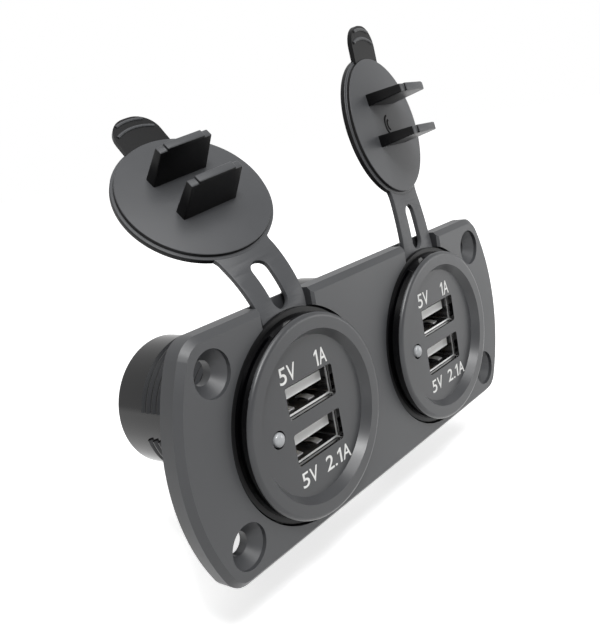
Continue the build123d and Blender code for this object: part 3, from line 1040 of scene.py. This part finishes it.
@dataclass
class Socket:
    """What a socket carries besides its solids: spring leaves, lens dome and printed ratings."""

    side: Side
    face_y: float = -5.6
    ink_thickness: float = 0.03
    ink_stroke_added: float = 0.03
    glyph_gap: float = 0.17
    glyph_size: float = 3.0
    glyph_steps: int = 6
    dot_height: float = 0.15
    leaf_width: float = 1.7
    leaf_length: float = 3.2
    leaf_thickness: float = 0.12
    leaf_rise: float = 0.36
    leaf_middle_y: float = -1.1
    leaf_offset_x: float = 2.9
    leaf_rows: int = 10
    leaf_smooth_deg: float = 50.0
    shell_wall: float = 0.3
    tongue_overhang: float = 0.05
    mouth_width: float = 0.38
    mouth_depth: float = 0.06
    lens_radius: float = 1.3
    lens_rise: float = 0.72
    lens_depth: float = 2.0
    ratings: tuple[Rating, ...] = (
        Rating("5V", -7.1, -2.7, 8.0, 11.0),
        Rating("1A", 2.7, 6.1, 8.0, 11.0),
        Rating("5V", -6.2, -1.8, -11.5, -8.7),
        Rating("2.1A", 0.8, 8.3, -11.5, -8.7),
    )

    def build(self) -> list[Object]:
        """Builds the spring leaves, the shells' mouths and the print; leaves and mouths are a
        painted highlight.
        """
        low, high = frame_box(self.side.of("socket_body"))
        self.axis_x = (low.x + high.x) / 2
        steel = [self.leaf(level, side) for level in Level for side in (-1, 1)]
        steel += [self.mouth(level) for level in Level]
        springs = join(self.side.of("port_springs"), steel)
        return [
            # Leaves and mouths are near-white steel: a painted highlight.
            finished(springs, STEEL_PAINTED_HIGHLIGHT.material()),
            finished(self.marks(), RATING_INK.material()),
        ]

    def leaf(self, level: Level, side: int) -> Object:
        """Makes one spring leaf that bulges from a shell's floor into the port.

        Args:
            level: the port.
            side: -1 for the left leaf and 1 for the right one.

        Returns:
            The leaf.
        """
        low, high = self.shell_box(level)
        x = (low.x + high.x) / 2 + side * self.leaf_offset_x
        place = Vector((x, self.leaf_middle_y, self.shell_floor(level)))
        deselect()
        bpy.ops.mesh.primitive_grid_add(
            x_subdivisions=2, y_subdivisions=self.leaf_rows, size=1, location=place * MM
        )
        leaf = bpy.context.object
        leaf.scale = (self.leaf_width * MM, self.leaf_length * MM, 1)
        settle(leaf)
        for vertex in leaf.data.vertices:
            away = (vertex.co.y / MM - self.leaf_middle_y) / (self.leaf_length / 2)
            share = min(1.0, abs(away))
            bulge = 1 - share * share * (3 - 2 * share)
            vertex.co.z += bulge * (self.leaf_rise - self.leaf_thickness) * MM
        apply_modifier(leaf, "SOLIDIFY", thickness=self.leaf_thickness * MM, offset=1.0)
        smooth(leaf, self.leaf_smooth_deg)
        return leaf

    def mouth(self, level: Level) -> Object:
        """Makes a near-white frame round a shell's mouth, a painted highlight on the shell's front
        edge.
        """
        low, high = self.shell_box(level)
        bottom = self.shell_floor(level) - self.shell_wall
        outlines = []
        for inset in (0.0, self.mouth_width):
            left, right = low.x + inset, high.x - inset
            base, top = bottom + inset, high.z - inset
            outlines.append(straight((left, base), (right, base), (right, top), (left, top)))
        mouth = flat_plate(outlines, self.mouth_depth)
        stand_plate(mouth, 0, low.y)
        return mouth

    def shell_box(self, level: Level) -> tuple[Vector, Vector]:
        """Gives the lowest and highest corner of a port's shell."""
        return frame_box(self.side.of(f"{level.value}_usb_shell"))

    def shell_floor(self, level: Level) -> float:
        """Gives the height of a shell's inner floor; its box is lengthened by its feet."""
        low, _ = self.shell_box(level)
        tongue_low, _ = frame_box(self.side.of(f"{level.value}_usb_tongue"))
        return max(low.z + self.shell_wall, tongue_low.z - self.tongue_overhang)

    def lens(self) -> Object:
        """Makes the lens a little smaller than its hole, so that a dark gap shows round it."""
        low, high = frame_box(self.side.of("indicator_lens"))
        middle = Vector(((low.x + high.x) / 2, self.face_y, (low.z + high.z) / 2))
        deselect()
        bpy.ops.mesh.primitive_uv_sphere_add(
            segments=48, ring_count=24, radius=1, location=middle * MM, rotation=UPRIGHT
        )
        lens = bpy.context.object
        lens.scale = (self.lens_radius * MM, self.lens_radius * MM, self.lens_rise * MM)
        settle(lens)
        select_faces(lens, lambda face: face.center.y > (self.face_y + LEVEL_MARGIN) * MM)
        bpy.ops.mesh.delete(type="FACE")
        bpy.ops.mesh.select_mode(type="EDGE")
        bpy.ops.mesh.select_all(action="DESELECT")
        bpy.ops.mesh.select_non_manifold()
        depth = self.lens_depth * MM
        bpy.ops.mesh.extrude_edges_move(TRANSFORM_OT_translate={"value": (0, depth, 0)})
        bpy.ops.mesh.edge_face_add()
        bpy.ops.mesh.select_all(action="SELECT")
        bpy.ops.mesh.normals_make_consistent(inside=False)
        lens.name = self.side.of("lens_dome")
        smooth(lens)
        return lens

    def marks(self) -> Object:
        """Prints the plain output ratings above and below the ports."""
        made = []
        for rating in self.ratings:
            shares = [GLYPH_WIDTHS[character] for character in rating.text]
            whole = sum(shares) + self.glyph_gap * (len(shares) - 1)
            unit = (rating.right - rating.left) / whole
            left = rating.left
            for character, share in zip(rating.text, shares):
                high = rating.high
                if character == ".":
                    high = rating.low + (rating.high - rating.low) * self.dot_height
                made.append(self.glyph(character, left, left + share * unit, rating.low, high))
                left += (share + self.glyph_gap) * unit
        return join(self.side.of("printed_ratings"), made)

    def glyph(self, character: str, left: float, right: float, low: float, high: float) -> Object:
        """Prints one character so that it fills a box on the socket's face.

        Args:
            character: the character.
            left: the box's left side, from the socket's axis.
            right: its right side.
            low: its lower side.
            high: its upper side.

        Returns:
            The character as a mesh.
        """
        if character == "1":
            mark = flat_plate([straight(*FLAGGED_ONE)], self.ink_thickness)
        else:
            bpy.ops.object.text_add()
            mark = bpy.context.object
            letter = mark.data
            letter.body = character
            letter.size = self.glyph_size * MM
            letter.offset = self.ink_stroke_added / 2 * MM
            letter.extrude = self.ink_thickness / 2 * MM
            letter.resolution_u = self.glyph_steps
            activate(mark)
            bpy.ops.object.convert(target="MESH")
        xs = [vertex.co.x for vertex in mark.data.vertices]
        ys = [vertex.co.y for vertex in mark.data.vertices]
        across = (right - left) * MM / (max(xs) - min(xs))
        up = (high - low) * MM / (max(ys) - min(ys))
        mark.scale = (across, up, 1)
        mark.location = (
            (self.axis_x + left) * MM - min(xs) * across,
            (self.face_y - self.ink_thickness / 2) * MM,
            low * MM - min(ys) * up,
        )
        mark.rotation_euler = UPRIGHT
        settle(mark)
        return mark


@dataclass(frozen=True)
class Lamp:
    """A softbox that faces the object, by its direction and distance; its sizes are in metres."""

    name: str
    azimuth_deg: float
    elevation_deg: float
    distance: float
    width: float
    height: float
    watts: float


@dataclass
class Studio:
    """Camera, softboxes, floor and pale surroundings."""

    eye: Triple = (-120.414, -91.957, 49.144)
    turn_deg: Triple = (76.399, 10.213, -51.211)
    focal_length: float = 44.388
    sensor_width: float = 36.0
    clip_start: float = 0.005
    floor_drop: float = 14.0
    floor_size: float = 6.0
    ambient: float = 0.2
    lamps: tuple[Lamp, ...] = (
        Lamp("overhead_softbox", -20, 62, 0.7, 0.45, 0.4, 3.7),
        Lamp("right_softbox", 47, -3, 0.45, 0.2, 0.25, 0.5),
        Lamp("front_softbox", -36, 44, 0.6, 0.11, 0.11, 1.9),
    )

    def build(self) -> None:
        """Builds the whole studio."""
        self.camera()
        for lamp in self.lamps:
            self.softbox(lamp)
        self.floor()
        self.surroundings()
        bpy.context.scene.view_settings.view_transform = "Standard"

    def camera(self) -> None:
        """Puts the camera where the photograph was taken from."""
        data = bpy.data.cameras.new("photo_camera")
        data.lens = self.focal_length
        data.sensor_width = self.sensor_width
        data.clip_start = self.clip_start
        camera = placed("photo_camera", data)
        camera.location = Vector(self.eye) * MM
        camera.rotation_euler = [math.radians(angle) for angle in self.turn_deg]
        bpy.context.scene.camera = camera

    def softbox(self, lamp: Lamp) -> None:
        """Hangs one softbox, facing the object."""
        data = bpy.data.lights.new(lamp.name, "AREA")
        data.shape = "RECTANGLE"
        data.size = lamp.width
        data.size_y = lamp.height
        data.energy = lamp.watts
        low, high = cad_box
        azimuth, elevation = math.radians(lamp.azimuth_deg), math.radians(lamp.elevation_deg)
        away = Vector((math.sin(azimuth), -math.cos(azimuth), 0)) * math.cos(elevation)
        away.z = math.sin(elevation)
        box = placed(lamp.name, data)
        box.location = (low + high) / 2 + away * lamp.distance
        box.rotation_euler = away.to_track_quat("Z", "Y").to_euler()

    def floor(self) -> None:
        """Lays the pale floor under the object."""
        deselect()
        low, _ = cad_box
        height = low.z - self.floor_drop * MM
        bpy.ops.mesh.primitive_plane_add(size=self.floor_size, location=(0, 0, height))
        floor = bpy.context.object
        floor.name = "pale_floor"
        settle(floor)
        floor.data.materials.append(StudioCard().material())

    def surroundings(self) -> None:
        """Makes the world white where it is seen, and softer where it lights."""
        world = bpy.data.worlds.new("pale_surroundings")
        bpy.context.scene.world = world
        world.use_nodes = True
        tree = world.node_tree
        tree.nodes.clear()
        levels = {"Value": seen_directly(tree), "To Min": self.ambient, "To Max": 1.0}
        level = add_node(tree, "ShaderNodeMapRange", levels).outputs[0]
        pale = add_node(tree, "ShaderNodeBackground", {"Color": WHITE, "Strength": level})
        add_node(tree, "ShaderNodeOutputWorld", {"Surface": pale.outputs[0]})


# Widths of the characters beside one another, and the corners of a 1 with a flag.
GLYPH_WIDTHS: dict[str, float] = {"5": 1.0, "V": 1.15, "1": 0.55, "2": 1.0, "A": 1.15, ".": 0.3}
FLAGGED_ONE = ((0.56, 0), (1, 0), (1, 1), (0.66, 1), (0, 0.8), (0, 0.66), (0.56, 0.8))

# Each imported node's finish, by the longest of these that its name ends with.
FINISH_OF: dict[str, Finish] = {
    "rear_cap": NUT_NYLON,
    "ring_nut": NUT_NYLON,
    "circuit_board": BOARD_FR4,
    "choke": CHOKE_FERRITE,
    "capacitors": CAPACITOR_CAN,
    "regulator_chip": CHIP_EPOXY,
    "usb_shell": SHELL_STEEL_IN_PAINTED_SHADE,
    "usb_tongue": TONGUE_PBT,
    "usb_contacts": CONTACT_GOLD,
    "indicator_lens": ClearLens(),
    "terminal": TERMINAL_TIN,
    "socket_body": SOCKET_ABS,
    "cover_ring": COVER_RUBBER,
    "strap_link": COVER_RUBBER,
    "cap": COVER_RUBBER,
    "mounting_panel": PANEL_ABS,
}


def dress_solids() -> None:
    """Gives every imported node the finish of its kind, by the end of its name."""
    made: dict[Finish, Material] = {}
    for node in frame["nodes"]:
        kind = max((end for end in FINISH_OF if node.endswith(end)), key=len)
        finish = FINISH_OF[kind]
        if finish not in made:
            made[finish] = finish.material()
        for slot in frame["nodes"][node].material_slots:
            slot.material = made[finish]
        log.info("%s is %s", node, made[finish].name)


def main() -> None:
    """Dresses the solids, builds the new pieces and sets up the studio."""
    logging.basicConfig(level=logging.INFO, format="%(name)s: %(message)s")
    Studio().build()
    dress_solids()
    # The second rubber is near black: painted shade on the covers.
    satin, painted_shade = COVER_RUBBER.material(), RUBBER_PAINTED_SHADE.material()
    clear = FINISH_OF["indicator_lens"].material()
    for side in Side:
        cover = RubberCover(side)
        halves = cover.build(satin, painted_shade)
        cover.attach(halves)
        socket = Socket(side)
        for piece in socket.build():
            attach(piece, "panel")
        dome = finished(socket.lens(), clear)
        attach(dome, "panel")
        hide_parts(f"{side.value}_indicator_lens")
        log.info("built the %s pieces", side.value)


if __name__ == "__main__":
    main()
